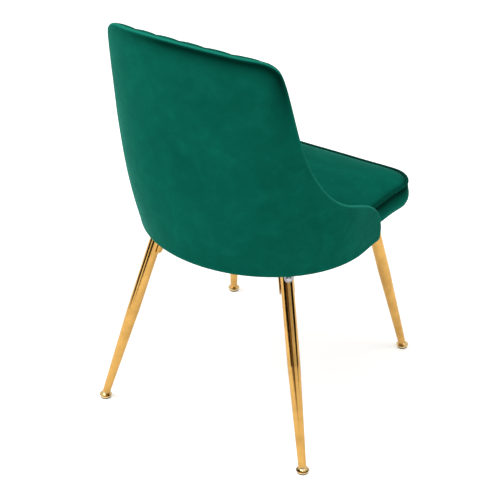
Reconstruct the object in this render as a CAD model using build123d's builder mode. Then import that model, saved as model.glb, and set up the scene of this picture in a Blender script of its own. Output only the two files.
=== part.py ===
from build123d import *
import os
from math import atan2, cos, degrees, radians, sin, sqrt

# Upholstered dining chair: a bent plywood tub covered in velvet, a piped seat cushion on a
# wooden frame, and four splayed tapered tube legs on levelling glides.
# All sizes are in mm. The floor is z = 0, the chair faces -Y and +X is the sitter's left.

# Overall
overall_depth = 512.6  # front of the front feet to the rearmost point of the back
back_top_height = 833.0  # seam at the middle of the back's top
shell_width = 454.0  # outside of the tub at its widest level
seat_edge_height = 418.0  # piping round the cushion
cushion_edge_thickness = 46.0  # piping down to the underside of the cushion

# Tub, outside surface. Each station is a level section: half an ellipse behind, parallel arms in front.
# (share of the height from the foot level to the top, loss of half width, setback, depth of the bend)
shell_foot_drop = 68.0  # seat edge down to the foot level
shell_stations = [
    (0.00, 6.7, 63.3, 211.0),
    (0.10, 3.5, 51.4, 201.3),
    (0.27, 0.4, 36.1, 184.7),
    (0.52, 0.4, 25.7, 160.3),
    (0.77, 6.0, 14.1, 135.9),
    (1.00, 16.3, 0.0, 113.4),
    (1.05, 19.2, -3.1, 108.5),
]
# Rim seen from the side: (reach forward from the rear of the back, share of the rise above the seat edge)
rim_points = [
    (40.3, 1.041),
    (77.3, 0.680),
    (115.3, 0.402),
    (166.3, 0.234),
    (236.3, 0.149),
    (318.3, -0.019),
    (335.3, -0.152),
]
shell_bottom_drop_rear = 40.0  # seat edge down to the tub's lower edge behind
shell_bottom_drop_front = 63.0  # the same at the tips of the arms
arm_tip_radius = 12.0
crown_rise = 18.5  # height of the arched top over its two corners
top_corner_radius = 40.0
top_half_width = 167.5  # half the width of the arched top between its corners

cover_thickness = 4.0  # velvet over thin foam
ply_thickness = 9.0
layer_gap = 0.3
pad_arm_thickness = 13.0
pad_rear_thickness = 31.0
ply_edge_setback = 5.0  # the ply's edge below the padded rim
ply_bottom_lift = 3.0  # the ply's lower edge above the cover's
pad_roll = 1.0  # the inner pad's roll over the rim
pad_edge_share = 0.35  # thickness of the pad at the rim, as a share of its full thickness
pad_edge_setback = 14.0  # full thickness starts this far below the rim
pad_clearance = 13.0  # seat edge up to the underside of the back pad

# Seat
seat_width = 448.0  # cushion across its front corners
seat_front_setback = 34.0  # front of the feet back to the front of the cushion
seat_corner_radius = 47.0
seat_front_bow = 2.0
seat_side_radius = 500.0  # where the sides turn outwards, in front of the arms
cushion_clearance = 0.6  # cushion to the inside of the ply
cushion_arm_notch = 6.0  # where the seat's sides start to turn out, in front of the arm tips
cushion_skirt = 8.0  # cover and foam wrapped round the frame's edge
crown_height = 23.0  # piping up to the top of the cushion
crown_inset = 62.0
crown_shoulder = (0.55, 0.72)  # the crown's shoulder: share of its inset, share of its height
crown_corner_radius = 8.0
piping_radius = 2.5
piping_proud = 0.8
piping_chamfer = 1.4
frame_recess = 4.5  # underside of the cushion up to the frame
pocket_clearance = 0.4
rail_height = 18.0
rail_width = 23.5
board_thickness = 12.0
board_screw_edge = 26.0  # front of the cushion back to the front row of screws
board_screw_side = 12.0  # inner face of a side rail out to its screws
board_screw_x = (120.0, 60.0, 55.0, 50.0)  # screws either side of the middle, front row to back row
batten_screw_edges = (18.0, 40.0, 20.0)  # batten edge to its screws: outer front, inner front, rear
side_screw_offset = 36.0  # tub's side screw back to the board's screw
glue_gap = 0.2
dust_cover_thickness = 0.8
dust_cover_margin = 6.0

# Legs
front_foot_spacing = 400.8
rear_foot_spacing = 439.8
foot_track = 445.3  # front feet to rear feet
front_leg_run = (55.4, 83.5)  # foot to the top of the leg: inwards, towards the middle
rear_leg_run = (87.4, 81.2)
leg_top_diameter = 24.0
leg_end_diameter = 15.0
leg_taper_height = 200.0  # straight tube above, tapered below
leg_wall = 1.2
leg_end_height = 11.8
leg_top_gap = 5.6  # bracket plate down to the centre of the leg's top end

# Leg brackets
plate_thickness = 3.0
plate_length = 64.0
plate_width = 56.0
plate_outboard = 12.0  # plate beyond the leg's axis, towards the corner
plate_corner = 6.0
plate_hole_clearance = 0.3
plate_margin = 1.0  # plate's edge inside the frame's edge
near_bolt_inboard = 8.0  # bracket bolts beside the cradle, inboard of the leg's axis
near_bolt_gap = 6.2  # side of the cradle out to these bolts
far_bolt = (42.0, 18.0)  # the other two bolts from the leg's axis: inboard, sideways
batten_margin = 6.0
cradle_clearance = 0.3  # leg to the inside of the half tube that it beds in
cradle_wall = 2.0
cradle_offset = 4.0
cradle_length = 50.0  # bracket plate's top down to the cradle's end
cradle_end_radius = 10.0

# Fasteners
m6_radius = 3.0
thread_clearance = 0.05
hole_clearance = 0.2
leg_bolt_drop = 18.5  # underside of the frame down to the bolt
leg_bolt_head_radius = 5.0
leg_bolt_head_height = 4.2
leg_bolt_tail = 3.0  # bolt beyond its nut
pan_shoulder = (0.75, 0.8)  # pan head's shoulder: share of its radius, share of its height
pan_edge = 0.35  # height of the pan head's straight edge, as a share of the head
washer_radius = 8.5
washer_thickness = 1.5
nut_across_flats = 10.0
nut_thickness = 5.0
bracket_bolt_head_radius = 5.5
bracket_bolt_head_height = 3.2
bracket_bolt_length = 18.0
tee_nut_flange_radius = 9.0
tee_nut_flange_thickness = 1.5
tee_nut_barrel_radius = 4.0
tee_nut_length = 10.0
wood_screw_radius = 2.2
wood_screw_head_radius = 4.5
wood_screw_head_height = 3.0
board_screw_length = 25.0
shell_screw_length = 40.0
shell_screw_recess = 0.8
shell_screw_angles = (12, 77, 103, 168)  # round the bend
shell_screw_setback = 34.0  # arm tip back to the side screws
screw_clearance = 0.1
notch_width = 6.0  # notches in the cushion's skirt where the tub's screws pass
staple_size = (10.0, 1.2, 0.6)
staple_spacing = 46.0

# Glides
cup_radius = 11.8
cup_height = 8.6
cup_rim_height = 5.2
cup_rim_thickness = 0.9
cup_dome_bulge = 0.7
cup_mouth_edge = 4.0
cup_lip = 0.2  # cup's underside beyond the pad
pad_radius = 9.8
pad_thickness = 2.2
pad_edge_radius = 0.6
ball_radius = 3.3
ball_height = 6.3
socket_clearance = 0.1
mouth_share = 0.8  # radius of the socket's mouth as a share of the ball's
neck_radius = 1.7
neck_length = 5.2
insert_length = 20.0
insert_clearance = 0.05
glide_travel = 10.0

# Levels and lines worked out from the sizes above
back_y = overall_depth / 2
shell_foot_height = seat_edge_height - shell_foot_drop
cushion_bottom = seat_edge_height - cushion_edge_thickness
frame_bottom = cushion_bottom + frame_recess
cradle_end_height = frame_bottom - cradle_length
cradle_radius = leg_top_diameter / 2 + cradle_clearance
near_bolt = (near_bolt_inboard, cradle_radius + cradle_wall + near_bolt_gap)
leg_bolt_height = frame_bottom - leg_bolt_drop
stud_length = insert_length + glide_travel
board_bottom = frame_bottom + rail_height + glue_gap
board_top = board_bottom + board_thickness
plate_bottom = frame_bottom - plate_thickness
cushion_front = -back_y + seat_front_setback
lining = cover_thickness + ply_thickness + 2 * layer_gap
front_foot_y = -back_y + cup_radius
rear_foot_y = front_foot_y + foot_track


# ---------------------------------------------------------------- shapes shared by several pieces
def station_at(z):
    """Half width, rearmost y and bend depth of the tub's outside at height z."""
    share = (z - shell_foot_height) / (back_top_height - shell_foot_height)
    upper = next(row for row in shell_stations[1:] if share <= row[0] + 1e-6)
    lower = shell_stations[shell_stations.index(upper) - 1]
    t = (share - lower[0]) / (upper[0] - lower[0])
    narrowing, setback, bend = (a + (b - a) * t for a, b in zip(lower[1:], upper[1:]))
    return shell_width / 2 - narrowing, back_y - setback, bend


def shell_block(side_inset, rear_inset):
    """Solid bounded by the tub's surface, moved inwards at the arms and behind."""
    with BuildPart() as block:
        for station in shell_stations:
            z = shell_foot_height + station[0] * (back_top_height - shell_foot_height)
            half_width, rear_y, bend = station_at(z)
            half = half_width - side_inset
            with BuildSketch(Plane.XY.offset(z)):
                with BuildLine():
                    arc = EllipticalCenterArc((0, rear_y - bend), half, bend - rear_inset, arc_size=180)
                    Polyline(arc @ 1, (-half, -overall_depth), (half, -overall_depth), arc @ 0)
                make_face()
        loft()
    return block.part


def side_block(growth, bottom_rear, bottom_front):
    """Everything behind the rim as seen from the side, above a sloping lower edge."""
    rise = back_top_height - seat_edge_height
    rim = [(back_y - reach - growth, seat_edge_height + share * rise + growth) for reach, share in rim_points]
    far_y = overall_depth
    arm_y = rim[-1][0]
    with BuildPart() as block:
        with BuildSketch(Plane.YZ) as face:
            with BuildLine():
                edge = Spline(*rim)
                Polyline(edge @ 1, (far_y, rim[-1][1]), (far_y, rim[0][1]), edge @ 0)
            make_face()
            with BuildLine():
                slope = (bottom_rear - bottom_front) / (back_y - arm_y)
                low_left = (arm_y - 100, bottom_front - 100 * slope)
                low_right = (far_y + 100, bottom_rear + (far_y + 100 - back_y) * slope)
                Polyline(low_left, low_right, (far_y + 100, 0), (arm_y - 100, 0), close=True)
            make_face(mode=Mode.SUBTRACT)
            fillet(face.vertices().sort_by(Axis.X)[0], radius=arm_tip_radius)
        extrude(amount=shell_width, both=True)
    return block.part


def crown_block(growth):
    """Everything below the arched top with its two rounded corners, as seen from behind."""
    top = back_top_height + growth
    corner_z = top - crown_rise
    half = top_half_width + growth / 2
    with BuildPart() as block:
        with BuildSketch(Plane.XZ) as face:
            with BuildLine():
                arch = ThreePointArc((-half, corner_z), (0, top), (half, corner_z))
                right = [(half + 22, corner_z - 125), (half + 170, corner_z - 215), (half + 170, 0)]
                left = [(-x, z) for x, z in reversed(right)]
                Polyline(arch @ 1, *right, *left, arch @ 0)
            make_face()
            fillet(face.vertices().group_by(Axis.Y)[-1], radius=top_corner_radius)
        extrude(amount=overall_depth, both=True)
    return block.part


def seat_outline(inset):
    """Plan of the seat, moved inwards: arched front, straight sides, rear following the tub."""
    half_width, rear_y, bend = station_at(cushion_bottom)
    half = half_width - lining - cushion_clearance - inset
    depth = bend - lining - cushion_clearance - inset
    arm_y = back_y - rim_points[-1][0] - cushion_arm_notch
    corner_x = seat_width / 2 - inset
    corner_y = cushion_front + seat_front_bow + inset
    with BuildSketch() as face:
        with BuildLine():
            rear = EllipticalCenterArc((0, rear_y - bend), half, depth, arc_size=180)
            Polyline(rear @ 1, (-half, arm_y), (-corner_x, corner_y))
            front = ThreePointArc((-corner_x, corner_y), (0, cushion_front + inset), (corner_x, corner_y))
            Polyline(front @ 1, (half, arm_y), rear @ 0)
        make_face()
        fillet(face.vertices().group_by(Axis.Y)[1], radius=seat_side_radius)
        corner_radius = max(seat_corner_radius - inset, crown_corner_radius)
        fillet(face.vertices().group_by(Axis.Y)[0], radius=corner_radius)
    return face.sketch


def seat_block(inset, low, high):
    """The seat's plan, moved inwards, between two heights."""
    with BuildPart() as block:
        with BuildSketch(Plane.XY.offset(low)):
            add(seat_outline(inset))
        extrude(amount=high - low)
    return block.part


def tub_plane(z, angle, inset):
    """Plane on the tub's bend, inset from its outside, facing inwards; 0 degrees is the sitter's left."""
    half_width, rear_y, bend = station_at(z)
    a, b = half_width - inset, bend - inset
    point = (a * cos(radians(angle)), rear_y - bend + b * sin(radians(angle)), z)
    inward = Vector(-cos(radians(angle)) / a, -sin(radians(angle)) / b, 0)
    return Plane(origin=point, x_dir=(0, 0, 1), z_dir=inward)


def countersunk_screws(planes, length, clearance=0.0):
    """Wood screws with their flat heads on the given planes, grown by a clearance to cut their holes."""
    with BuildPart() as screws:
        for plane in planes:
            with BuildSketch(plane.offset(-clearance)):
                Circle(wood_screw_head_radius + clearance)
            with BuildSketch(plane.offset(wood_screw_head_height)):
                Circle(wood_screw_radius + clearance)
            loft()
            with BuildSketch(plane.offset(wood_screw_head_height)):
                Circle(wood_screw_radius + clearance)
            extrude(amount=length - wood_screw_head_height + clearance)
    return screws.part


def rods(planes, radius, start, end):
    """Plain round rods on the given planes, from one height to another."""
    with BuildPart() as group:
        for plane in planes:
            with BuildSketch(plane.offset(start)):
                Circle(radius)
            extrude(amount=end - start)
    return group.part


def section_plane(plane):
    """Plane through a plane's own axis, with that axis pointing up the sketch."""
    return Plane(origin=plane.origin, x_dir=plane.x_dir, z_dir=-plane.y_dir)


def pan_bolts(planes, head_radius, head_height, head_base, length):
    """M6 bolts along the planes' normals; their heads sit on head_base and their shanks run on by length."""
    with BuildPart() as bolts:
        for plane in planes:
            with BuildSketch(section_plane(plane)):
                with BuildLine():
                    crown = (0, head_base - head_height)
                    shoulder = (pan_shoulder[0] * head_radius, head_base - pan_shoulder[1] * head_height)
                    dome = ThreePointArc(crown, shoulder, (head_radius, head_base - pan_edge * head_height))
                    tip = head_base + length
                    collar = (m6_radius, head_base)
                    Polyline(dome @ 1, (head_radius, head_base), collar, (m6_radius, tip), (0, tip), crown)
                make_face()
            revolve(axis=Axis(plane.origin, plane.z_dir))
    return bolts.part


def save(part, name):
    part.label = name
    export_step(part, f"parts/{name}.step")


# ---------------------------------------------------------------- leg geometry
class Leg:
    """One leg's name, its side, and the planes that its pieces are built on."""

    def __init__(self, name, side, foot_spacing, foot_y, run, towards_rear):
        run_x, run_y = run
        self.name = name
        self.foot = Vector(side * foot_spacing / 2, foot_y, 0)
        self.ball = self.foot + Vector(0, 0, ball_height)
        self.top = Vector(self.foot.X - side * run_x, foot_y + towards_rear * run_y, frame_bottom)
        self.axis = (self.top - self.ball).normalized()
        self.inboard = Vector(-side * run_x, towards_rear * run_y, 0).normalized()
        across = self.inboard - self.axis * self.inboard.dot(self.axis)
        self.plane = Plane(origin=self.ball, x_dir=across, z_dir=self.axis)
        self.plate_plane = Plane(origin=(self.top.X, self.top.Y, plate_bottom), x_dir=self.inboard)

    def along(self, height):
        """Distance along the leg from its ball to the given height above the floor."""
        return (height - ball_height) / self.axis.Z

    def radius_at(self, height):
        """Outside radius of the tube where its axis is at the given height."""
        share = min(1.0, (height - leg_end_height) / (leg_taper_height - leg_end_height))
        return (leg_end_diameter + (leg_top_diameter - leg_end_diameter) * share) / 2

    def bolt_plane(self):
        """Plane across the leg at the bolt, facing inboard."""
        origin = self.ball + self.axis * self.along(leg_bolt_height)
        return Plane(origin=origin, x_dir=self.plane.y_dir, z_dir=self.plane.x_dir)

    def bracket_bolt_planes(self, height):
        """Planes that face up at the bracket's four bolts."""
        sideways = Vector(0, 0, 1).cross(self.inboard)
        spots = [(inboard, sign * across) for inboard, across in (near_bolt, far_bolt) for sign in (1, -1)]
        points = [self.top + self.inboard * inboard + sideways * across for inboard, across in spots]
        return [Plane(origin=(point.X, point.Y, height)) for point in points]


legs = [
    Leg("front_left", 1, front_foot_spacing, front_foot_y, front_leg_run, 1),
    Leg("front_right", -1, front_foot_spacing, front_foot_y, front_leg_run, 1),
    Leg("rear_left", 1, rear_foot_spacing, rear_foot_y, rear_leg_run, -1),
    Leg("rear_right", -1, rear_foot_spacing, rear_foot_y, rear_leg_run, -1),
]
bolt_planes = [plane for leg in legs for plane in leg.bracket_bolt_planes(0)]

os.makedirs("parts", exist_ok=True)

# ---------------------------------------------------------------- tub: cover, plywood and inner pad
bottom_rear = seat_edge_height - shell_bottom_drop_rear
bottom_front = seat_edge_height - shell_bottom_drop_front
screw_level = frame_bottom + rail_height / 2
arm_screw_y = back_y - rim_points[-1][0] + shell_screw_setback
arm_half = station_at(screw_level)[0]
head_inset = cover_thickness + layer_gap + shell_screw_recess
shell_screw_planes = [tub_plane(screw_level, angle, head_inset) for angle in shell_screw_angles]
for side in (1, -1):
    head = (side * (arm_half - head_inset), arm_screw_y, screw_level)
    shell_screw_planes.append(Plane(origin=head, x_dir=(0, 0, 1), z_dir=(-side, 0, 0)))
shell_screw_holes = countersunk_screws(shell_screw_planes, shell_screw_length, screw_clearance)
head_wells = rods(shell_screw_planes, wood_screw_head_radius + screw_clearance, -2 * shell_screw_recess, 0)

ply_outside = cover_thickness + layer_gap
with BuildPart() as outer_back_cover:
    add(shell_block(0, 0))
    add(shell_block(cover_thickness, cover_thickness), mode=Mode.SUBTRACT)
    add(side_block(0, bottom_rear, bottom_front), mode=Mode.INTERSECT)
    add(crown_block(0), mode=Mode.INTERSECT)
save(outer_back_cover.part, "outer_back_cover")

with BuildPart() as back_shell_ply:
    add(shell_block(ply_outside, ply_outside))
    add(shell_block(ply_outside + ply_thickness, ply_outside + ply_thickness), mode=Mode.SUBTRACT)
    ply_bottoms = (bottom_rear + ply_bottom_lift, bottom_front + ply_bottom_lift)
    add(side_block(-ply_edge_setback, *ply_bottoms), mode=Mode.INTERSECT)
    add(crown_block(-ply_edge_setback), mode=Mode.INTERSECT)
    add(shell_screw_holes, mode=Mode.SUBTRACT)
    add(head_wells, mode=Mode.SUBTRACT)
save(back_shell_ply.part, "back_shell_ply")

pad_bottom = seat_edge_height + pad_clearance


def pad_layer(share, growth):
    """A layer of the inner pad: its share of the full thickness, and its growth past the rim."""
    with BuildPart() as layer:
        add(shell_block(lining, lining))
        insides = (lining + share * pad_arm_thickness, lining + share * pad_rear_thickness)
        add(shell_block(*insides), mode=Mode.SUBTRACT)
        add(side_block(growth, pad_bottom, pad_bottom), mode=Mode.INTERSECT)
        add(crown_block(growth), mode=Mode.INTERSECT)
    return layer.part


with BuildPart() as back_pad:
    add(pad_layer(1.0, -pad_edge_setback))
    add(pad_layer(pad_edge_share, pad_roll))
save(back_pad.part, "back_pad")

save(countersunk_screws(shell_screw_planes, shell_screw_length), "shell_screws")

# ---------------------------------------------------------------- seat frame: rails, battens and board
front_rail_rear = cushion_front + cushion_skirt + seat_front_bow + rail_width
side_rail_inside = station_at(cushion_bottom)[0] - lining - cushion_clearance - cushion_skirt - rail_width
plate_inboard = plate_length - plate_outboard


def batten_reach(leg):
    """Lowest and highest y that the leg's bracket plate reaches."""
    sideways = Vector(0, 0, 1).cross(leg.inboard)
    ends = (leg.inboard * -plate_outboard, leg.inboard * plate_inboard)
    corners = [leg.top + end + sideways * (sign * plate_width / 2) for end in ends for sign in (1, -1)]
    return min(c.Y for c in corners) - batten_margin, max(c.Y for c in corners) + batten_margin


front_batten_rear = batten_reach(legs[0])[1]
rear_batten_front, rear_batten_rear = batten_reach(legs[2])
rear_screw_y = rear_batten_rear + wood_screw_head_radius + 2

tee_nut_top = frame_bottom + rail_height
front_screw_y = cushion_front + board_screw_edge
side_screw_x = side_rail_inside + board_screw_side
board_screw_spots = [(0, front_screw_y), (0, rear_screw_y)]
for side in (1, -1):
    board_screw_spots += [
        (side * board_screw_x[0], front_screw_y),
        (side * side_screw_x, front_batten_rear - batten_screw_edges[0]),
        (side * side_screw_x, arm_screw_y + side_screw_offset),
        (side * board_screw_x[1], front_batten_rear - batten_screw_edges[1]),
        (side * board_screw_x[2], rear_screw_y),
        (side * board_screw_x[3], rear_batten_front + batten_screw_edges[2]),
    ]
board_screw_planes = [Plane(origin=(x, y, board_top), z_dir=(0, 0, -1)) for x, y in board_screw_spots]
board_screw_holes = countersunk_screws(board_screw_planes, board_screw_length, screw_clearance)
bolt_holes = rods(bolt_planes, m6_radius + hole_clearance, frame_bottom - 1, tee_nut_top)
barrel_radius = tee_nut_barrel_radius + screw_clearance
barrel_holes = rods(bolt_planes, barrel_radius, tee_nut_top - tee_nut_length - screw_clearance, tee_nut_top)
flange_radius = tee_nut_flange_radius + screw_clearance
flange_base = tee_nut_top - tee_nut_flange_thickness
flange_wells = rods(bolt_planes, flange_radius, flange_base - screw_clearance, tee_nut_top)
frame_slab = seat_block(cushion_skirt, frame_bottom, frame_bottom + rail_height)


def frame_piece(name, low_x, high_x, low_y, high_y):
    """One wooden piece of the seat frame: the slab between four lines, drilled for its fasteners."""
    with BuildPart() as piece:
        with BuildSketch(Plane.XY.offset(frame_bottom)):
            with Locations(((low_x + high_x) / 2, (low_y + high_y) / 2)):
                Rectangle(high_x - low_x, high_y - low_y)
        extrude(amount=rail_height)
        add(frame_slab, mode=Mode.INTERSECT)
        for holes in (shell_screw_holes, board_screw_holes, bolt_holes, barrel_holes, flange_wells):
            add(holes, mode=Mode.SUBTRACT)
    save(piece.part, name)


wide = shell_width
frame_piece("front_rail", -wide, wide, -overall_depth, front_rail_rear)
frame_piece("left_rail", side_rail_inside, wide, front_rail_rear + glue_gap, rear_batten_front - glue_gap)
frame_piece("right_rail", -wide, -side_rail_inside, front_rail_rear + glue_gap, rear_batten_front - glue_gap)
batten_half = side_rail_inside - glue_gap
frame_piece("front_batten", -batten_half, batten_half, front_rail_rear + glue_gap, front_batten_rear)
frame_piece("rear_batten", -wide, wide, rear_batten_front, rear_batten_rear)
frame_piece("rear_rail", -wide, wide, rear_batten_rear + glue_gap, overall_depth)

with BuildPart() as seat_board:
    add(seat_block(cushion_skirt, board_bottom, board_top))
    add(board_screw_holes, mode=Mode.SUBTRACT)
save(seat_board.part, "seat_board")
save(countersunk_screws(board_screw_planes, board_screw_length), "board_screws")

# ---------------------------------------------------------------- seat cushion and its piping
piping_inset = piping_radius - piping_proud
crown_edge_inset = piping_inset + piping_radius + layer_gap
shoulder_inset = crown_inset * crown_shoulder[0]
shoulder_level = seat_edge_height + crown_height * crown_shoulder[1]
with BuildPart() as seat_cushion:
    add(seat_block(0, cushion_bottom, seat_edge_height - piping_radius - layer_gap))
    for level, inset in ((seat_edge_height - piping_radius - layer_gap, crown_edge_inset),
                         (shoulder_level, shoulder_inset),
                         (seat_edge_height + crown_height, crown_inset)):
        with BuildSketch(Plane.XY.offset(level)):
            add(seat_outline(inset))
    loft(ruled=True)
    pocket_top = board_top + pocket_clearance
    add(seat_block(cushion_skirt - pocket_clearance, cushion_bottom, pocket_top), mode=Mode.SUBTRACT)
    for plane in shell_screw_planes:
        with BuildSketch(plane):
            with Locations((-(screw_level - cushion_bottom) / 2, 0)):
                Rectangle(screw_level - cushion_bottom + notch_width, notch_width)
        extrude(amount=shell_screw_length, mode=Mode.SUBTRACT)
save(seat_cushion.part, "seat_cushion")

with BuildPart() as seat_piping:
    with BuildSketch(Plane.XY.offset(seat_edge_height - piping_radius)):
        add(seat_outline(piping_inset - piping_radius))
        add(seat_outline(piping_inset + piping_radius), mode=Mode.SUBTRACT)
    extrude(amount=2 * piping_radius)
    rims = seat_piping.edges().group_by(Axis.Z)
    chamfer(rims[0] + rims[-1], length=piping_chamfer)
save(seat_piping.part, "seat_piping")

# ---------------------------------------------------------------- dust cover under the seat
dust_cover_top = frame_bottom - layer_gap
with BuildPart() as dust_cover:
    add(seat_block(cushion_skirt + dust_cover_margin, dust_cover_top - dust_cover_thickness, dust_cover_top))
    for leg in legs:
        with BuildSketch(leg.plate_plane):
            with Locations(((plate_length / 2 - plate_outboard), 0)):
                Rectangle(plate_length + 2, plate_width + 2)
        extrude(amount=2 * plate_thickness, mode=Mode.SUBTRACT)
save(dust_cover.part, "dust_cover")

staple_line = seat_outline(cushion_skirt + dust_cover_margin + 4).wires()[0]
staple_count = int(staple_line.length / staple_spacing)
staple_top = dust_cover_top - dust_cover_thickness - layer_gap / 3
with BuildPart() as dust_cover_staples:
    for i in range(staple_count):
        share = (i + 0.5) / staple_count
        point = staple_line @ share
        if min((point - Vector(leg.top.X, leg.top.Y, 0)).length for leg in legs) > plate_length:
            spot = Plane((point.X, point.Y, staple_top), x_dir=staple_line % share, z_dir=(0, 0, -1))
            with BuildSketch(spot):
                Rectangle(staple_size[0], staple_size[1])
            extrude(amount=staple_size[2])
save(dust_cover_staples.part, "dust_cover_staples")

# ---------------------------------------------------------------- leg brackets and their fasteners
cradle_back = cradle_offset + cradle_radius + cradle_wall
for leg in legs:
    with BuildPart() as plate:
        with BuildSketch(leg.plate_plane):
            with Locations((plate_length / 2 - plate_outboard, 0)):
                RectangleRounded(plate_length, plate_width, plate_corner)
        extrude(amount=plate_thickness)
        add(seat_block(cushion_skirt + plate_margin, plate_bottom, frame_bottom), mode=Mode.INTERSECT)
    with BuildPart() as leg_bracket:
        low, high = leg.along(cradle_end_height), leg.along(frame_bottom + 20)
        with BuildSketch(leg.plane.offset(low)):
            with Locations((cradle_offset, 0)):
                Circle(cradle_radius + cradle_wall)
                Circle(cradle_radius, mode=Mode.SUBTRACT)
            with Locations((cradle_offset - cradle_radius - cradle_wall, 0)):
                Rectangle(2 * (cradle_radius + cradle_wall), 60, mode=Mode.SUBTRACT)
        extrude(amount=high - low)
        with BuildSketch(section_plane(leg.plane)) as side_view:
            with Locations(((cradle_back - 2) / 2, (low + high) / 2)):
                Rectangle(cradle_back + 2, high - low)
            end_corner = side_view.vertices().group_by(Axis.Y)[0].sort_by(Axis.X)[-1]
            fillet(end_corner, radius=cradle_end_radius)
        extrude(amount=30, both=True, mode=Mode.INTERSECT)
        split(bisect_by=Plane.XY.offset(plate_bottom + plate_thickness / 2), keep=Keep.BOTTOM)
        add(plate.part)
        add(rods([leg.bolt_plane()], m6_radius + hole_clearance, 0, 30), mode=Mode.SUBTRACT)
        plate_holes = leg.bracket_bolt_planes(0)
        hole_radius = m6_radius + plate_hole_clearance
        add(rods(plate_holes, hole_radius, plate_bottom - 1, frame_bottom + 1), mode=Mode.SUBTRACT)
    save(leg_bracket.part, f"leg_bracket_{leg.name}")

bracket_bolts = pan_bolts(
    bolt_planes, bracket_bolt_head_radius, bracket_bolt_head_height, plate_bottom, bracket_bolt_length
)
save(bracket_bolts, "bracket_bolts")

with BuildPart() as bracket_tee_nuts:
    add(rods(bolt_planes, tee_nut_flange_radius, flange_base, tee_nut_top))
    add(rods(bolt_planes, tee_nut_barrel_radius, tee_nut_top - tee_nut_length, tee_nut_top))
    add(rods(bolt_planes, m6_radius + thread_clearance, 0, tee_nut_top + 1), mode=Mode.SUBTRACT)
save(bracket_tee_nuts.part, "bracket_tee_nuts")

# ---------------------------------------------------------------- legs
leg_top_height = plate_bottom - leg_top_gap
for leg in legs:
    low, high = leg.along(leg_end_height), leg.along(leg_top_height)
    middle = leg.along(leg_taper_height)
    with BuildPart() as leg_tube:
        for wall, mode in ((0, Mode.ADD), (leg_wall, Mode.SUBTRACT)):
            with BuildSketch(leg.plane.offset(low)):
                Circle(leg.radius_at(leg_end_height) - wall)
            with BuildSketch(leg.plane.offset(middle)):
                Circle(leg.radius_at(leg_taper_height) - wall)
            loft(mode=mode)
            with BuildSketch(leg.plane.offset(middle)):
                Circle(leg.radius_at(leg_top_height) - wall)
            extrude(amount=high - middle, mode=mode)
        add(rods([leg.bolt_plane()], m6_radius + hole_clearance, -30, 30), mode=Mode.SUBTRACT)
    save(leg_tube.part, f"leg_{leg.name}")

# ---------------------------------------------------------------- leg bolts, washers and nuts
across_planes = [leg.bolt_plane() for leg in legs]
washer_seat = -(legs[0].radius_at(leg_bolt_height) + layer_gap)
head_base = washer_seat - washer_thickness
nut_seat = cradle_back + layer_gap
leg_bolt_length = nut_seat + nut_thickness + leg_bolt_tail - head_base
leg_bolts = pan_bolts(across_planes, leg_bolt_head_radius, leg_bolt_head_height, head_base, leg_bolt_length)
save(leg_bolts, "leg_bolts")

with BuildPart() as leg_washers:
    add(rods(across_planes, washer_radius, head_base, washer_seat))
    add(rods(across_planes, m6_radius + hole_clearance, head_base - 1, 0), mode=Mode.SUBTRACT)
save(leg_washers.part, "leg_washers")

with BuildPart() as leg_nuts:
    for plane in across_planes:
        with BuildSketch(plane.offset(nut_seat)):
            RegularPolygon(nut_across_flats / 2, 6, major_radius=False)
        extrude(amount=nut_thickness)
    add(rods(across_planes, m6_radius + thread_clearance, 0, 60), mode=Mode.SUBTRACT)
save(leg_nuts.part, "leg_nuts")

# ---------------------------------------------------------------- levelling glides
with BuildPart() as foot_inserts:
    for leg in legs:
        low = leg.along(leg_end_height)
        with BuildSketch(leg.plane.offset(low)):
            Circle(leg.radius_at(leg_end_height) - leg_wall - insert_clearance)
            Circle(m6_radius + thread_clearance, mode=Mode.SUBTRACT)
        extrude(amount=insert_length)
save(foot_inserts.part, "foot_inserts")

socket_radius = ball_radius + socket_clearance
mouth_radius = mouth_share * ball_radius
mouth_rise = sqrt(socket_radius**2 - mouth_radius**2)
neck_rise = sqrt(ball_radius**2 - neck_radius**2)
for leg in legs:
    with BuildPart() as glide_stud:
        with BuildSketch(section_plane(leg.plane)):
            with BuildLine():
                ball = CenterArc((0, 0), ball_radius, -90, 90 + degrees(atan2(neck_rise, neck_radius)))
                Polyline(
                    ball @ 1,
                    (neck_radius, neck_length),
                    (m6_radius, neck_length),
                    (m6_radius, stud_length),
                    (0, stud_length),
                    ball @ 0,
                )
            make_face()
        revolve(axis=Axis(leg.ball, leg.axis))
    save(glide_stud.part, f"glide_stud_{leg.name}")

    with BuildPart() as glide_cup:
        with BuildSketch(Plane(origin=leg.foot, x_dir=(1, 0, 0), z_dir=(0, -1, 0))):
            with BuildLine():
                mouth_angle = degrees(atan2(mouth_rise, mouth_radius))
                socket = CenterArc((0, ball_height), socket_radius, mouth_angle, -90 - mouth_angle)
                rim_top = (cup_radius, cup_rim_height + cup_rim_thickness)
                dome = SagittaArc(rim_top, (cup_mouth_edge, cup_height), cup_dome_bulge)
                Line(dome @ 1, socket @ 0)
                Polyline(
                    socket @ 1,
                    (0, pad_thickness),
                    (pad_radius + cup_lip, pad_thickness),
                    (cup_radius, cup_rim_height),
                    dome @ 0,
                )
            make_face()
        revolve(axis=Axis(leg.foot, (0, 0, 1)))
    save(glide_cup.part, f"glide_cup_{leg.name}")

    with BuildPart() as glide_pad:
        with BuildSketch(Plane(origin=leg.foot)):
            Circle(pad_radius)
        extrude(amount=pad_thickness)
        fillet(glide_pad.edges().group_by(Axis.Z)[0], radius=pad_edge_radius)
    save(glide_pad.part, f"glide_pad_{leg.name}")
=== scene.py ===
import math

import bmesh
import bpy
import numpy as np
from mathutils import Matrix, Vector
from mathutils.kdtree import KDTree


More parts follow.
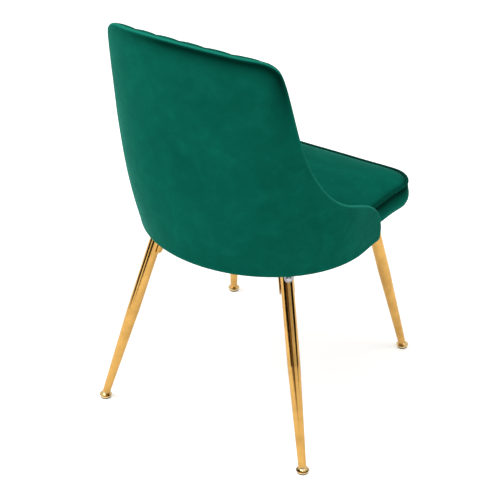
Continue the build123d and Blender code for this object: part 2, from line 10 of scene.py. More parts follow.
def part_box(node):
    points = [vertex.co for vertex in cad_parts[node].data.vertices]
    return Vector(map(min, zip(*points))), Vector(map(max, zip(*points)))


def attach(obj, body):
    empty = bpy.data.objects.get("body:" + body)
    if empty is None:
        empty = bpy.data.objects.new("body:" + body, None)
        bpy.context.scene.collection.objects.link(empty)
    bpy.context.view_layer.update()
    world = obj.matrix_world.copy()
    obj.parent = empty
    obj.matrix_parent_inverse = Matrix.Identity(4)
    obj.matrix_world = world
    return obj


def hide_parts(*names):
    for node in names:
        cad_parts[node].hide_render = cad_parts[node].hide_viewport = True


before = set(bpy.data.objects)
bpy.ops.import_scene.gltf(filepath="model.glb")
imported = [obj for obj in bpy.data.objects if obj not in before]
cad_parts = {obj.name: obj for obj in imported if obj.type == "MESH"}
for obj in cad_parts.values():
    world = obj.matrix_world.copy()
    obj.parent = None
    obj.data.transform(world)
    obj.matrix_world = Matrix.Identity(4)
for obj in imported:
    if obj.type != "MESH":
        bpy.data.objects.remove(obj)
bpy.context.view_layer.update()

# ---------------------------------------------------------------- Camera, floor and light
# A pale paper floor in a white room, with three wide soft lamps over it. Strips of black and
# brown paper, which only reflections see, lie and stand round it for the streaks in the legs.
scene = bpy.context.scene
scene.view_settings.view_transform = "Standard"
camera_place = (-1.3429, 2.2537, 1.9809)
camera_look = Vector((0.4341, -0.7215, -0.5395))
lens_mm = 119.33
surround_strength = 0.72
floor_white = (0.93, 0.93, 0.925, 1.0)
floor_glow = 0.25
floor_half = 9.0
lamp_aim = Vector((0, 0, 0.4))
lamps = (  # name, place, size, watts
    ("overhead_lamp", (0.5, 0.9, 3.4), 2.6, 62.0),
    ("side_lamp", (3.0, 1.4, 2.2), 2.4, 62.0),
    ("front_lamp", (-2.6, -1.2, 2.6), 2.0, 26.0),
)
flag_dark = (0.004, 0.004, 0.004, 1.0)
umber_brown = (0.17, 0.12, 0.08, 1.0)
strip_lift = 0.0006  # the strips' height above the floor


class Value:
    """A shader value. Arithmetic on it adds Math nodes to its material."""

    def __init__(self, paint, socket):
        self.paint, self.socket = paint, socket

    def maths(self, operation, first, second):
        return self.paint.node("ShaderNodeMath", {"operation": operation}, {0: first, 1: second})

    def __add__(self, other):
        return self.maths("ADD", self, other)

    def __sub__(self, other):
        return self.maths("SUBTRACT", self, other)

    def __rsub__(self, other):
        return self.maths("SUBTRACT", other, self)

    def __mul__(self, other):
        return self.maths("MULTIPLY", self, other)

    def __pow__(self, other):
        return self.maths("POWER", self, other)

    def at_least(self, other):
        return self.maths("MAXIMUM", self, other)

    def at_most(self, other):
        return self.maths("MINIMUM", self, other)

    __radd__ = __add__
    __rmul__ = __mul__


class Paint:
    """A material being mixed. node() adds any node and returns one of its outputs."""

    def __init__(self, name):
        self.material = bpy.data.materials.new(name)
        self.material.use_nodes = True
        self.tree = self.material.node_tree
        self.shader = self.tree.nodes["Principled BSDF"]
        self.place = self.node("ShaderNodeTexCoord", out=3)

    def node(self, kind, settings=(), sockets=(), out=0):
        made = self.tree.nodes.new(kind)
        for key, value in dict(settings).items():
            if key == "stops":
                while len(made.color_ramp.elements) < len(value):
                    made.color_ramp.elements.new(1.0)
                for element, (position, colour) in zip(made.color_ramp.elements, value):
                    element.position, element.color = position, colour
            else:
                setattr(made, key, value)
        self.feed(made, sockets)
        return Value(self, made.outputs[out])

    def feed(self, made, sockets):
        for key, value in dict(sockets).items():
            if isinstance(value, Value):
                self.tree.links.new(value.socket, made.inputs[key])
            else:
                made.inputs[key].default_value = value

    def noise(self, scale, detail=2.0, roughness=0.5, distortion=0.0, stretch=(1, 1, 1)):
        place = self.node("ShaderNodeMapping", {}, {"Vector": self.place, "Scale": stretch})
        return self.node("ShaderNodeTexNoise", {}, {
            "Vector": place, "Scale": scale, "Detail": detail,
            "Roughness": roughness, "Distortion": distortion})

    def mix(self, share, first, second):
        return self.node("ShaderNodeMix", {"data_type": "RGBA"}, {0: share, 6: first, 7: second}, 2)

    def spread(self, value, low, high):
        """The value's range from low to high stretched to 0 to 1 and held there."""
        return self.node("ShaderNodeMapRange", {"clamp": True}, {"Value": value, 1: low, 2: high})

    def bump(self, height, distance, strength=1.0):
        return self.node("ShaderNodeBump", {}, {
            "Strength": strength, "Distance": distance, "Height": height})

    def surface(self, sockets):
        self.feed(self.shader, sockets)
        return self.material


def make_object(bm, name, material, smooth=True):
    """Turns a bmesh into a linked object with one material."""
    mesh = bpy.data.meshes.new(name)
    bm.to_mesh(mesh)
    bm.free()
    mesh.materials.append(material)
    mesh.polygons.foreach_set("use_smooth", [smooth] * len(mesh.polygons))
    made = bpy.data.objects.new(name, mesh)
    scene.collection.objects.link(made)
    return made


camera = bpy.data.objects.new("camera", bpy.data.cameras.new("camera"))
camera.data.sensor_width = 36.0
camera.data.lens = lens_mm
camera.location = camera_place
camera.rotation_euler = camera_look.to_track_quat("-Z", "Y").to_euler()
scene.collection.objects.link(camera)
scene.camera = camera

world = bpy.data.worlds.new("white_room")
world.use_nodes = True
scene.world = world
surround = world.node_tree.nodes["Background"]
seen = world.node_tree.nodes.new("ShaderNodeBackground")
seen.inputs["Color"].default_value = (1, 1, 1, 1)
surround.inputs["Color"].default_value = (1.0, 0.995, 0.985, 1)
surround.inputs["Strength"].default_value = surround_strength
ray = world.node_tree.nodes.new("ShaderNodeLightPath")
either = world.node_tree.nodes.new("ShaderNodeMixShader")
world.node_tree.links.new(ray.outputs["Is Camera Ray"], either.inputs[0])
world.node_tree.links.new(surround.outputs[0], either.inputs[1])
world.node_tree.links.new(seen.outputs[0], either.inputs[2])
world.node_tree.links.new(either.outputs[0], world.node_tree.nodes["World Output"].inputs[0])

for name, place, size, watts in lamps:
    lamp = bpy.data.objects.new(name, bpy.data.lights.new(name, "AREA"))
    lamp.data.size = size
    lamp.data.energy = watts
    lamp.location = place
    lamp.rotation_euler = (lamp_aim - Vector(place)).to_track_quat("-Z", "Y").to_euler()
    scene.collection.objects.link(lamp)

paper = Paint("floor_paper")
grain = paper.noise(60.0, 3.0)
paper.surface({
    "Base Color": floor_white, "Roughness": 0.9 + 0.05 * grain, "Specular IOR Level": 0.0,
    "Emission Color": floor_white, "Emission Strength": floor_glow})
bm = bmesh.new()
bmesh.ops.create_grid(bm, x_segments=4, y_segments=4, size=floor_half)
floor = make_object(bm, "floor", paper.material)

flag = Paint("black_paper")
flag.surface({"Base Color": flag_dark, "Roughness": 1.0, "Specular IOR Level": 0.0})
umber = Paint("brown_paper")
umber.surface({"Base Color": umber_brown, "Roughness": 1.0, "Specular IOR Level": 0.0})


def dark_strip(name, paper, foot, azimuth, spread, near, reach, height):
    """Dark paper on the floor round a foot, from near to reach, and upright at its far end."""
    middle, half = math.radians(azimuth), math.radians(spread) / 2
    floor_ends = (near, strip_lift), (reach, strip_lift)
    upright_ends = (reach, 0.0), (reach, height)
    for part, ends in (("floor", floor_ends), ("upright", upright_ends)):
        strip = bmesh.new()
        bmesh.ops.create_grid(strip, x_segments=1, y_segments=1, size=1.0)
        for corner in strip.verts:
            turn = middle + half * corner.co.x
            distance, level = ends[int(corner.co.y > 0)]
            corner.co = (foot[0] + distance * math.cos(turn), foot[1] + distance * math.sin(turn), level)
        made = make_object(strip, f"{name}_{part}", paper.material, False)
        made.visible_camera = made.visible_diffuse = made.visible_shadow = False
        made.visible_transmission = made.visible_volume_scatter = False


def foot_of(node):
    low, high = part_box(node)
    return (low + high) / 2


rear_left_foot, rear_right_foot = foot_of("glide_pad_rear_left"), foot_of("glide_pad_rear_right")
dark_strips = (  # name, paper, foot, azimuth and spread in degrees, near, reach, height
    ("strip_rear_left", flag, rear_left_foot, 30.0, 38.0, 0.9, 2.2, 0.5),
    ("strip_rear_right_a", flag, rear_right_foot, 73.0, 42.0, 1.0, 1.6, 0.6),
    ("strip_rear_right_b", umber, rear_right_foot, 110.0, 32.0, 1.0, 1.6, 0.6),
    ("strip_rear_right_c", flag, rear_right_foot, 200.0, 48.0, 1.0, 2.0, 0.9),
)
for strip in dark_strips:
    dark_strip(*strip)

# ---------------------------------------------------------------- Tub: bent plywood
# One moulded sheet of seven birch veneers that makes the back and both arms. It stays as the
# CAD gives it, hidden between the velvet cover outside and the foam pad inside.
veneer_light = (0.62, 0.45, 0.27, 1.0)
veneer_dark = (0.36, 0.22, 0.11, 1.0)


def wood(name, light, dark, stretch, scale, plies=0.0):
    """Raw wood with long grain; plies adds the dark glue lines of plywood's edge, per metre."""
    paint = Paint(name)
    grain = paint.noise(scale, 6.0, 0.62, 0.4, stretch)
    rings = paint.noise(scale * 0.22, 3.0, 0.5, 1.2, stretch)
    pores = paint.noise(scale * 9, 2.0, 0.5, 0.0, stretch)
    colour = paint.mix(paint.spread(grain * 0.6 + rings * 0.4, 0.32, 0.7), light, dark)
    colour = paint.mix(paint.spread(pores, 0.56, 0.72) * 0.35, colour, dark)
    if plies:
        layer = paint.node("ShaderNodeTexWave", {"bands_direction": "Z"}, {
            "Vector": paint.place, "Scale": plies, "Distortion": 0.6, "Detail": 2.0}, 1)
        colour = paint.mix(paint.spread(layer, 0.55, 0.95) * 0.3, colour, dark)
    return paint.surface({
        "Base Color": colour, "Roughness": 0.55 + 0.2 * grain, "Specular IOR Level": 0.35,
        "Normal": paint.bump(grain + 0.5 * pores, 0.0004)})


def finish_nodes(names, material):
    """Gives CAD nodes their material."""
    for name in names:
        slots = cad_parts[name].data.materials
        if len(slots):
            for index in range(len(slots)):
                slots[index] = material
        else:
            slots.append(material)


birch = wood("birch_plywood", veneer_light, veneer_dark, (1, 1, 0.12), 90.0)
finish_nodes(["back_shell_ply"], birch)

# ---------------------------------------------------------------- Tub: velvet outer cover
# Cut-pile velvet over thin foam, pulled tight round the outside of the plywood. It is turned
# over the rim to the seam with the inner pad, and under the lower edge, where it is stapled.
cover_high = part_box("outer_back_cover")[1]
piping_low, piping_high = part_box("seat_piping")
seat_edge = (piping_low.z + piping_high.z) / 2
rim_top, tub_half, tub_rear = cover_high.z, cover_high.x, cover_high.y
velvet_deep = (0.0010, 0.060, 0.040, 1.0)
velvet_body = (0.0016, 0.092, 0.062, 1.0)
velvet_light = (0.012, 0.190, 0.135, 1.0)
# level sections: height below the rim's top, loss of half width, setback, depth of the bend
stations = np.array([
    (-0.024, 0.0188, -0.0031, 0.1085),
    (0.000, 0.0159, 0.0000, 0.1134),
    (0.1111, 0.0056, 0.0141, 0.1359),
    (0.2318, 0.0, 0.0257, 0.1603),
    (0.3526, 0.0, 0.0361, 0.1847),
    (0.4347, 0.0031, 0.0514, 0.2013),
    (0.4830, 0.0063, 0.0633, 0.2110),
])
# rim from the side: forward of the rear, share of the rise from the seat edge to the rim's top
rim_side = np.array([
    (0.3353, -0.152), (0.3225, -0.019), (0.2363, 0.143), (0.1663, 0.240),
    (0.1153, 0.402), (0.0773, 0.680), (0.0403, 1.041),
])
# the arm's rounded tip, then the run under it: forward of the rear, height above the floor
tip_round = np.array([
    (0.3255, 0.3553), (0.3300, 0.3578), (0.3325, 0.3625), (0.3332, 0.3690),
    (0.3327, 0.3810), (0.3285, 0.3965),
])
tip_under = np.array([(0.3255, 0.3553), (0.3210, 0.3548), (0.3163, 0.3556)])
side_below_seat, side_below_top = 0.019, 0.085  # where the side's line starts and ends
crown_rise = 0.0185
crown_half = 0.1675
arch_half = 0.115
corner_radius = 0.040
corner_inwards, corner_drop = 0.0348, 0.0517  # centre of the top corner's round
ray_centre_y = 0.02
lower_edge_rear = 0.040  # below the seat edge, at the rear
lower_edge_fall = 0.0686  # slope of the lower edge down to the front
lower_swell, swell_height, swell_spread = 0.0007, 0.008, 0.004  # foam above the lower edge
curl_rim_radius, curl_low = 0.0052, 0.0045
strip_arm, strip_top = 0.0142, 0.0078  # width of the rim's strip, from outside to seam
turn_arm, turn_top = 0.0030, 0.0006  # radius where the strip turns down inside
cover_sheet = 0.0012
rim_fall = 0.45  # slope of the strip down to the inside, except over the middle of the back
crest_half, crest_blend = 0.150, 0.040
crown_from, crown_over = 0.45, 0.45  # share of the rise where the arm's strip turns into the top's
arm_flap = 0.045
cover_columns, cover_rows = 300, 64
shade_half, shade_blend = 0.165, 0.14  # painted shade below the top, across the back
shade_from, shade_over = 0.72, 0.2
shade_run, shade_fade = 0.009, 0.012
shade_depth = 0.95


def smooth_curve(knots, values):
    """The natural cubic curve through values at knots, as a function of the knot."""
    knots, values = np.asarray(knots, float), np.asarray(values, float)
    count, gap = len(knots), np.diff(knots)
    if values.ndim == 1:
        values = values[:, None]
    slope = np.diff(values, axis=0) / gap[:, None]
    system, right = np.eye(count), np.zeros_like(values)
    for i in range(1, count - 1):
        system[i, i - 1:i + 2] = gap[i - 1], 2 * (gap[i - 1] + gap[i]), gap[i]
        right[i] = 6 * (slope[i] - slope[i - 1])
    bend = np.linalg.solve(system, right)

    def at(x):
        x = np.asarray(x, float)
        i = np.clip(np.searchsorted(knots, x) - 1, 0, count - 2)
        h, a, b = gap[i][..., None], (knots[i + 1] - x)[..., None], (x - knots[i])[..., None]
        cubic = (bend[i] * a**3 + bend[i + 1] * b**3) / (6 * h)
        first, second = values[i] / h - bend[i] * h / 6, values[i + 1] / h - bend[i + 1] * h / 6
        return cubic + first * a + second * b

    return at


def resample(points, count):
    """Points spaced evenly along a smooth line through the given ones."""
    points = np.asarray(points, float)
    run = np.concatenate([[0], np.cumsum(np.linalg.norm(np.diff(points, axis=0), axis=1))])
    return smooth_curve(run, points)(np.linspace(0, run[-1], count))


def eased(share):
    """The share held between 0 and 1, with soft ends."""
    share = np.clip(share, 0, 1)
    return share**2 * (3 - 2 * share)


section_at = smooth_curve(stations[:, 0], stations[:, 1:])


def tub_section(z):
    """Half width, middle of the bend and its depth at height z."""
    row = section_at(rim_top - np.asarray(z, float))
    narrowing, setback, bend = row[..., 0], row[..., 1], row[..., 2]
    return tub_half - narrowing, tub_rear - setback - bend, bend


def tub_surface(angle, z, side_inset=0.0, rear_inset=None):
    """Points on the tub's surface, moved inwards, at an angle round its axis and a height."""
    rear_inset = side_inset if rear_inset is None else rear_inset
    half, middle, bend = tub_section(z)
    half, bend = half - side_inset, bend - rear_inset
    c, s = np.cos(angle), np.sin(angle)
    offset = ray_centre_y - middle
    arm_run = half / np.maximum(np.abs(c), 1e-6)
    a = (c / half) ** 2 + (s / bend) ** 2
    b = 2 * s * offset / bend**2
    d = np.maximum(b**2 - 4 * a * ((offset / bend) ** 2 - 1), 0)
    bend_run = (np.sqrt(d) - b) / (2 * a)
    run = np.where(ray_centre_y + arm_run * s < middle, arm_run, bend_run)
    return np.stack([run * c, ray_centre_y + run * s, z + 0 * run], axis=-1)


def angle_from_y(y, z):
    half, middle, bend = tub_section(z)
    share = np.clip((y - middle) / bend, 0, 1)
    return np.arctan2(y - ray_centre_y, half * np.sqrt(1 - share**2))


def angle_from_x(x, z):
    half, middle, bend = tub_section(z)
    return np.arctan2(middle + bend * np.sqrt(1 - np.clip(x / half, 0, 1) ** 2) - ray_centre_y, x)


unroll = 0.22  # metres of surface for one radian, near enough to space points evenly
rise = rim_top - seat_edge
side_line = resample(np.stack([tub_rear - rim_side[:, 0], seat_edge + rim_side[:, 1] * rise], 1), 60)
side_line = side_line[(side_line[:, 1] > seat_edge - side_below_seat)
                      & (side_line[:, 1] < rim_top - side_below_top)]
tip_line = np.stack([tub_rear - tip_round[:, 0], tip_round[:, 1]], 1)
side_line = np.concatenate([tip_line, side_line])
round_centre = (crown_half - corner_inwards, rim_top - corner_drop)
turn = np.radians(np.linspace(8, 77, 6))
round_x = round_centre[0] + corner_radius * np.cos(turn)
round_z = round_centre[1] + corner_radius * np.sin(turn)
arch_x = np.linspace(arch_half, 0, 5)
arch_z = rim_top - crown_rise * (arch_x / crown_half) ** 2
crown_x, crown_z = np.concatenate([round_x, arch_x]), np.concatenate([round_z, arch_z])
rim_angle = np.concatenate([angle_from_y(side_line[:, 0], side_line[:, 1]),
                            angle_from_x(crown_x, crown_z)])
rim_z = np.concatenate([side_line[:, 1], crown_z])
rim_half = np.stack([rim_angle * unroll, rim_z], 1)

under_line = np.stack([tub_rear - tip_under[:, 0], tip_under[:, 1]], 1)
under_angle = angle_from_y(under_line[:, 0], under_line[:, 1])
low_angle = np.linspace(under_angle[-1], math.pi / 2, 40)[1:]
low_z = np.full_like(low_angle, seat_edge - lower_edge_rear)
for _ in range(4):  # the edge's height follows its own setback, so it is worked out in rounds
    low_y = tub_surface(low_angle, low_z)[:, 1]
    low_z = seat_edge - lower_edge_rear - (tub_rear - low_y) * lower_edge_fall
low_half = np.stack([np.concatenate([under_angle, low_angle]) * unroll,
                     np.concatenate([under_line[:, 1], low_z])], 1)


def both_sides(half, count):
    """A line from tip to middle, evenly spaced and mirrored to run from tip to tip."""
    even = resample(half, count // 2 + 1)
    even[-1, 0] = math.pi / 2 * unroll
    other = even[-2::-1].copy()
    other[:, 0] = math.pi * unroll - other[:, 0]
    return np.concatenate([even, other])


def grid_object(table, name, material, nap=None, outward=None, merge=1e-6):
    """A grid moved onto a table of points, its poles and seams merged, and made an object."""
    rows, columns = table.shape[:2]
    bm = bmesh.new()
    bmesh.ops.create_grid(bm, x_segments=columns - 1, y_segments=rows - 1, size=0.5)
    layer = bm.verts.layers.float.new("nap")
    for v in bm.verts:
        column, row = round((v.co.x + 0.5) * (columns - 1)), round((v.co.y + 0.5) * (rows - 1))
        v.co = table[row, column]
        v[layer] = float(nap[row, column]) if nap is not None else 0.0
    bmesh.ops.remove_doubles(bm, verts=bm.verts, dist=merge)
    bmesh.ops.dissolve_degenerate(bm, edges=bm.edges, dist=merge)
    bmesh.ops.recalc_face_normals(bm, faces=bm.faces)
    if outward is not None:
        face = max(bm.faces, key=lambda f: f.calc_center_median().dot(outward))
        if face.normal.dot(outward) < 0:
            bmesh.ops.reverse_faces(bm, faces=bm.faces)
    return make_object(bm, name, material)


def darker(colour, share):
    return tuple(c * share for c in colour[:3]) + (1.0,)


def velvet(name, deep, body, light, pile_scale=1500.0):
    """Short cut pile: broad brushed strokes, fine mottling, and painted shade and painted highlight from an
    attribute.
    """
    paint = Paint(name)
    strokes = paint.noise(6.0, 3.0, 0.55, 0.9)
    patches = paint.noise(34.0, 4.0, 0.6, 0.3)
    pile = paint.noise(pile_scale, 2.0, 0.6)
    nap = paint.node("ShaderNodeAttribute", {"attribute_name": "nap"}, out=2)
    colour = paint.mix(paint.spread(strokes * 0.55 + patches * 0.45, 0.30, 0.70), deep, body)
    colour = paint.mix(paint.spread(patches, 0.5, 0.85) * 0.10, colour, light)
    colour = paint.mix(paint.spread(pile, 0.35, 0.75) * 0.16, colour, light)
    # Painted shade where the attribute is below 0, down to the deepest green, and painted highlight where
    # it is above 0.
    colour = paint.mix((nap * -1.0).at_least(0.0).at_most(1.0), colour, darker(deep, 0.22))
    colour = paint.mix(nap.at_least(0.0).at_most(1.0), colour, light)
    return paint.surface({
        "Base Color": colour, "Roughness": 0.82 + 0.14 * patches,
        "Specular IOR Level": 0.0, "Sheen Weight": 0.30, "Sheen Roughness": 0.26,
        "Sheen Tint": (0.24, 0.82, 0.68, 1.0),
        "Normal": paint.bump(pile * 0.7 + patches * 0.9, 0.0006, 0.55)})


green_velvet = velvet("green_velvet", velvet_deep, velvet_body, velvet_light)


def crest_share(place):
    """1 over the middle of the back, where the strip lies level, and 0 on the arms."""
    return np.clip((crest_half - np.abs(place[:, 0])) / crest_blend, 0, 1)


def strip_width(crown_share):
    return strip_arm + (strip_top - strip_arm) * crown_share


rim = both_sides(rim_half, cover_columns)
low = both_sides(low_half, cover_columns)
columns = len(rim)
rim_place = tub_surface(rim[:, 0] / unroll, rim[:, 1])
low_place = tub_surface(low[:, 0] / unroll, low[:, 1])
height_share = np.clip((rim[:, 1] - seat_edge) / rise, 0, 1)
crown_share = eased((height_share - crown_from) / crown_over)
fall = rim_fall * (1 - crest_share(rim_place))
curl_rim = np.full(columns, curl_rim_radius)
tip_share = np.clip(np.minimum(np.arange(columns), np.arange(columns)[::-1]) / 8.0, 0, 1)
curl_rim = curl_low + (curl_rim - curl_low) * tip_share
curl_under = np.full(columns, curl_low)
outline = KDTree(2 * columns)
for i, point in enumerate(np.concatenate([rim_place, low_place])):
    outline.insert(point, i)
outline.balance()
outline_curl = np.concatenate([curl_rim, curl_under])

share = (1 - np.cos(np.linspace(0, math.pi, cover_rows))) / 2
line = low[None] + (rim - low)[None] * share[:, None, None]
flat = tub_surface(line[..., 0] / unroll, line[..., 1])
near = np.array([outline.find(p)[1:] for p in flat.reshape(-1, 3)])
distance = near[:, 1].reshape(flat.shape[:2])
nearest = near[:, 0].astype(int).reshape(flat.shape[:2])
curl = outline_curl[nearest]
inset = np.where(distance < curl, curl - np.sqrt(np.maximum(curl**2 - (curl - distance) ** 2, 0)), 0)
is_rim = nearest < columns
swell = -lower_swell * np.exp(-((distance - swell_height) / swell_spread) ** 2)
inset = inset + np.where(is_rim, 0, swell)
body_part = tub_surface(line[..., 0] / unroll, line[..., 1], inset)

length = np.linalg.norm(rim_place - low_place, axis=1)
toward_low = (low - rim) / np.maximum(length, 1e-6)[:, None]


def tucked(start, direction, insets):
    """Rows past an edge: (how far back along the surface, how far inwards)."""
    rows = []
    for back, inwards in insets:
        at = start + direction * np.minimum(back, length / 2)[:, None]
        rows.append(tub_surface(at[:, 0] / unroll, at[:, 1], inwards))
    return rows


below = tucked(low, -toward_low, [(0.020, 0.0137), (0.0022, 0.0137), (0.0006, curl_low + 0.0083),
                                  (0.0, curl_low + 0.0035)])
strip = strip_width(crown_share)
turn_in = np.minimum(turn_arm + (turn_top - turn_arm) * crown_share, (strip - curl_rim).clip(0.0003))
flap = arm_flap * (1 - crown_share)
across = [(-0.0003, (curl_rim + strip - turn_in) / 2)]
across += [(turn_in * (1 - math.cos(a)) - 0.0001, strip - turn_in * (1 - math.sin(a)))
           for a in np.radians((0, 30, 60, 90))]
across += [(turn_in + 0.0035, strip + 0.0002), (turn_in + 0.0045 + flap, strip + 0.0002)]
across = [(back + fall * (inwards - curl_rim), inwards) for back, inwards in across]
above = tucked(rim, toward_low, across)
table = np.concatenate([np.array(below), body_part, np.array(above)])
# Painted light in the cover's colour: painted shade in a band just below the top of the back, and a painted
# highlight along the turned edges.
under_crown = (np.clip((height_share - shade_from) / shade_over, 0, 1)
               * np.clip((shade_half - rim_place[:, 0]) / shade_blend, 0, 1))
band = (np.exp(-np.maximum(distance - shade_run, 0) / shade_fade)
        * np.clip((distance - 0.0012) / 0.0014, 0, 1))
band = band * under_crown[None] * is_rim
painted_edge_highlight = np.exp(-(distance / 0.0028) ** 2) * np.where(is_rim, 0.7, 0.3)
nap = painted_edge_highlight - shade_depth * band
nap = np.concatenate([np.zeros((len(below), columns)), nap, np.zeros((len(above), columns))])
outer_cover = grid_object(table, "outer_cover", green_velvet, nap, Vector((0, 1, 0)))
wall = outer_cover.modifiers.new("sheet", "SOLIDIFY")
wall.thickness, wall.offset = cover_sheet, -1.0
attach(outer_cover, "frame")
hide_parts("outer_back_cover")

# ---------------------------------------------------------------- Tub: inner back pad
# Foam in velvet, sewn into upright channels across the back and plain on the arms. Its top is
# a roll over the back, which falls away inside the rim on the arms, seamed to the outer cover.
pad_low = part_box("back_pad")[0]
lining = 0.0136
pad_arm, pad_back = 0.013, 0.031
roll_rise, arm_drop = 0.0009, 0.0024
roll_depth_back, roll_depth_arm = 0.048, 0.018
channel_pitch = 0.046
channel_depth, channel_roll_depth = 0.0055, 0.0008
channel_half_width = 0.186
channel_hide = 0.006  # the outermost groove fades out past the channels
low_round_radius = 0.014
short_span = 0.02  # below this height, towards the arm's tip, the pad thins to nothing
pad_columns = 420
face_rows = 46

start = int(np.argmax(rim_half[:, 1] > pad_low.z + 0.006))
pad_half = rim_half[start:]
foot_half = np.stack([np.linspace(pad_half[0, 0] + 0.004, math.pi / 2 * unroll, 24),
                      np.full(24, seat_edge)], 1)
foot_half = np.concatenate([pad_half[:1], pad_half[:1] + (0.0015, -0.008), foot_half])
pad_rim = both_sides(pad_half, pad_columns)
pad_foot = both_sides(foot_half, pad_columns)
span = np.linalg.norm(pad_rim - pad_foot, axis=1)
down = (pad_foot - pad_rim) / np.maximum(span, 1e-6)[:, None]
back_share = np.clip(np.sin(pad_rim[:, 0] / unroll), 0, 1) ** 2
thick = pad_arm + (pad_back - pad_arm) * back_share
pad_crown = eased(((pad_rim[:, 1] - seat_edge) / rise - crown_from) / crown_over)
seam_inset = strip_width(pad_crown) - 0.0003
pad_crest = crest_share(tub_surface(pad_rim[:, 0] / unroll, pad_rim[:, 1]))
seam_drop = rim_fall * (1 - pad_crest) * (seam_inset - curl_rim_radius)
rise_over = roll_rise * pad_crown - arm_drop * (1 - pad_crown)
lift = rise_over - seam_drop
roll_depth = roll_depth_arm + (roll_depth_back - roll_depth_arm) * back_share
peak = (seam_inset + 0.003 * pad_crown - lining) / thick

profile = []  # rows round the pad: (distance below the rim, share of the thickness, roll weight)
face_share = (1 - np.cos(np.linspace(0, math.pi, face_rows))) / 2
taper = np.minimum(1.0, span / 0.06)
for t in face_share:
    low_round = np.minimum(t * span / low_round_radius, 1.0)
    depth = np.sqrt(np.maximum(1 - (1 - low_round) ** 2, 0))
    below_rim = (1 - t) * (span - roll_depth * taper) + roll_depth * taper
    profile.append((below_rim, 0.35 + 0.65 * depth, np.ones_like(span)))
for turn in np.radians(np.linspace(84, 0, 14)):
    share_in = peak + (1 - peak) * math.sin(turn) ** 1.35
    round_over, ramp = 1 - math.cos(turn) ** 1.35, math.sin(turn) ** 1.35
    round_over = round_over + (1 - pad_crest) * 0.15 * (ramp - round_over)
    below_rim = -lift + (roll_depth + lift) * round_over
    profile.append((below_rim * taper, share_in, np.ones_like(span)))
share_seam = (seam_inset - lining) / thick
for turn in np.radians((35, 65, 90)):
    share_in = share_seam + (peak - share_seam) * math.cos(turn)
    below_rim = seam_drop - rise_over * math.cos(turn) ** 0.5 + 0.0012 * math.sin(turn)
    profile.append((below_rim * taper, share_in, np.full_like(span, math.cos(turn) ** 2)))
hidden = np.zeros_like(span)
for below_rim, share_in in ((0.0030, -0.10), (0.0055, 0.0), (0.030, 0.0), (0.10, 0.0), (0.2, 0.0)):
    profile.append((np.minimum(below_rim + seam_drop, span * 0.8), share_in + hidden, hidden))
profile.append((span - np.minimum(0.012, span * 0.15), hidden, hidden))
profile.append((span - np.minimum(0.002, span * 0.05), 0.12 + hidden, hidden))
profile.append(profile[0])

rows = []
for below_rim, share_in, weight in profile:
    at = pad_rim + down * below_rim[:, None]
    share_in = np.where(span < short_span, share_in * span / short_span, share_in)
    place = tub_surface(at[:, 0] / unroll, at[:, 1],
                        lining + pad_arm * share_in, lining + pad_back * share_in)
    x = np.abs(place[:, 0])
    off = np.abs((x / channel_pitch + 0.5) % 1.0 - 0.5) * 2
    groove = (1 - off) ** 2.4 * np.clip((channel_half_width + channel_hide - x) / 0.004, 0, 1)
    groove = groove * np.clip(np.sin(at[:, 0] / unroll) * 6 - 3.2, 0, 1) * weight
    on_face = np.clip(below_rim / roll_depth, 0, 1) ** 0.6
    share_in = share_in - groove * (channel_depth * on_face + 0.0015) / thick
    place = tub_surface(at[:, 0] / unroll, at[:, 1] - groove * channel_roll_depth * (1 - on_face),
                        lining + pad_arm * share_in, lining + pad_back * share_in)
    # The fourth column is painted shade along the channel grooves, read by the velvet as its attribute.
    rows.append(np.concatenate([place, (groove * -0.75)[:, None]], axis=1))
rows = np.array(rows)
back_cushion = grid_object(rows[..., :3], "back_cushion", green_velvet, rows[..., 3], Vector((0, 0, 1)))
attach(back_cushion, "frame")
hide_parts("back_pad")

# ---------------------------------------------------------------- Seat frame and board
# Planed beech rails and battens, glued, with a birch plywood board screwed on top. The screws
# are zinc-plated countersunk ones, and steel tee nuts are pressed into the battens.
beech_light = (0.60, 0.40, 0.24, 1.0)
beech_dark = (0.42, 0.25, 0.13, 1.0)
beech_x = wood("beech_across", beech_light, beech_dark, (0.1, 1, 1), 110.0)
beech_y = wood("beech_along", beech_light, beech_dark, (1, 0.1, 1), 110.0)
board_birch = wood("board_plywood", veneer_light, veneer_dark, (0.12, 1, 1), 80.0, plies=130.0)
finish_nodes(["front_rail", "rear_rail", "front_batten", "rear_batten"], beech_x)
finish_nodes(["left_rail", "right_rail"], beech_y)
finish_nodes(["seat_board"], board_birch)

zinc_colour = (0.60, 0.61, 0.62, 1.0)
zinc_dull = (0.40, 0.41, 0.42, 1.0)
nickel_colour = (0.58, 0.57, 0.60, 1.0)
nickel_dull = (0.40, 0.39, 0.42, 1.0)


def plated(name, colour, dull, rough, spread, scale, bump=0.0002):
    """Plated steel: cloudy colour, uneven gloss and the faint pitting under the plating."""
    paint = Paint(name)
    cloud = paint.noise(scale, 4.0, 0.6)
    fine = paint.noise(scale * 14, 3.0)
    return paint.surface({
        "Base Color": paint.mix(paint.spread(cloud, 0.35, 0.7), colour, dull),
        "Metallic": 1.0, "Roughness": rough + spread * cloud + spread * 0.3 * fine,
        "Normal": paint.bump(fine + cloud * 0.5, bump, 0.4)})


zinc = plated("zinc_plating", zinc_colour, zinc_dull, 0.24, 0.22, 120.0)
bright = plated("nickel_plating", nickel_colour, nickel_dull, 0.10, 0.12, 160.0)
finish_nodes(["shell_screws", "board_screws", "bracket_tee_nuts", "bracket_bolts"], zinc)

